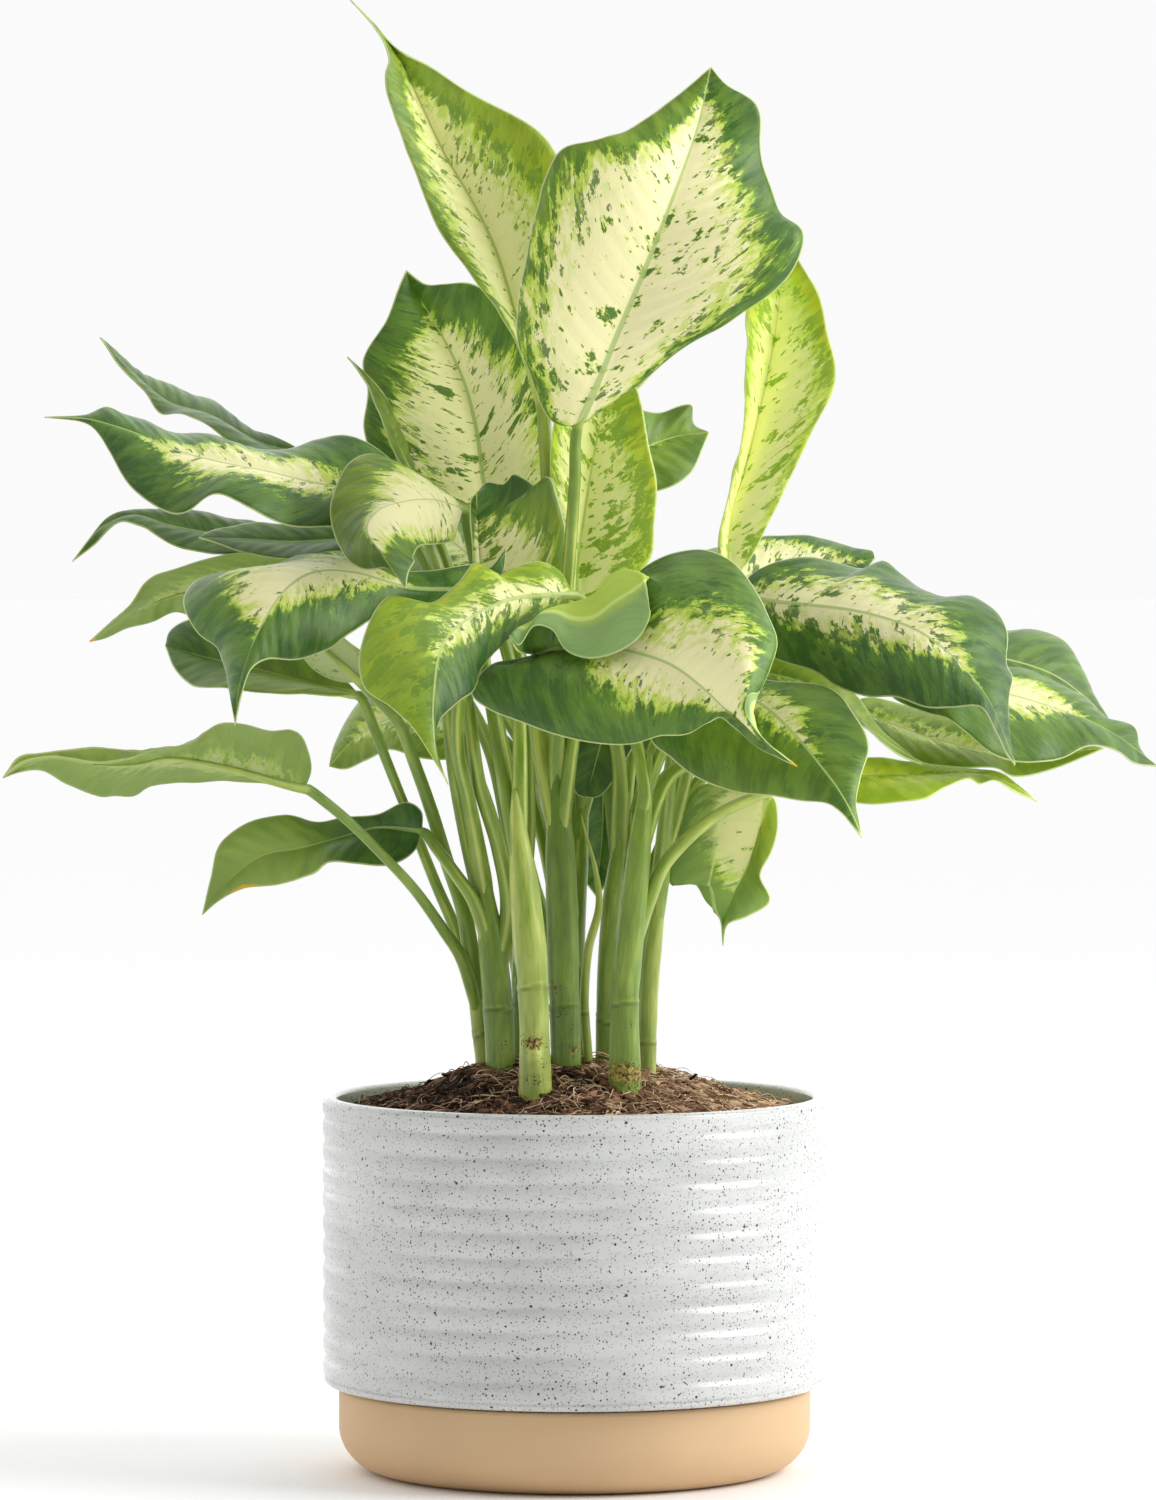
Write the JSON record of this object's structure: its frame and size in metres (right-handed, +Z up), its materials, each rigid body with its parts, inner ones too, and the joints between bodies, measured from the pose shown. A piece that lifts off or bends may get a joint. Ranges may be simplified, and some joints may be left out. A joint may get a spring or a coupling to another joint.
{
  "type": "potted dieffenbachia",
  "caption": "Houseplant with broad variegated leaves on thick upright canes, growing in a round ridged pot that stands in a shallow drip tray.",
  "frame": {"origin": "centre of the drip tray's underside, on the surface that it stands on", "axes": "+Z up, +X to the right of someone facing the plant's front, +Y away from them, towards the plant's back"},
  "size_m": [0.4078, 0.27, 0.5249],
  "materials": {
    "pot": "satin",
    "tray": "matte",
    "soil": "matte",
    "cane": "satin",
    "leaf": "satin"
  },
  "bodies": {
    "root": {"planter_pot": "pot", "drip_tray": "tray", "soil": "soil", "cane_left_outer": "cane", "cane_left": "cane", "cane_front_left": "cane", "cane_centre": "cane", "cane_centre_back": "cane", "cane_front_right": "cane", "cane_right": "cane", "cane_right_rear": "cane", "young_shoot": "cane", "cane_rear": "cane", "cane_rear_right": "cane", "cane_rear_left": "cane", "leaf_top_front": "leaf", "leaf_top_left": "leaf", "leaf_top_right_young": "leaf", "leaf_upper_left_broad": "leaf", "leaf_upper_left_narrow": "leaf", "leaf_centre_upright": "leaf", "leaf_small_back": "leaf", "leaf_far_left_back": "leaf", "leaf_left_long": "leaf", "leaf_centre_left_curl": "leaf", "leaf_centre_small": "leaf", "leaf_left_dark_tip": "leaf", "leaf_left_dark_lens": "leaf", "leaf_left_pale": "leaf", "leaf_left_front": "leaf", "leaf_centre_left_front": "leaf", "leaf_low_left_back": "leaf", "leaf_low_left_cream": "leaf", "leaf_low_left_front": "leaf", "leaf_low_left_second": "leaf", "leaf_low_left_far_back": "leaf", "leaf_centre_front": "leaf", "leaf_right_long": "leaf", "leaf_right_back_top": "leaf", "leaf_right_far_back": "leaf", "leaf_right_far": "leaf", "leaf_right_under": "leaf", "leaf_right_low_yellow": "leaf", "leaf_right_front": "leaf", "leaf_right_strip": "leaf", "leaf_right_hanging": "leaf", "leaf_back_dark": "leaf", "leaf_back_rounded": "leaf", "leaf_rear_left": "leaf", "leaf_rear_right": "leaf", "leaf_rear_upper": "leaf", "leaf_rear_low": "leaf"}
  },
  "joints": []
}
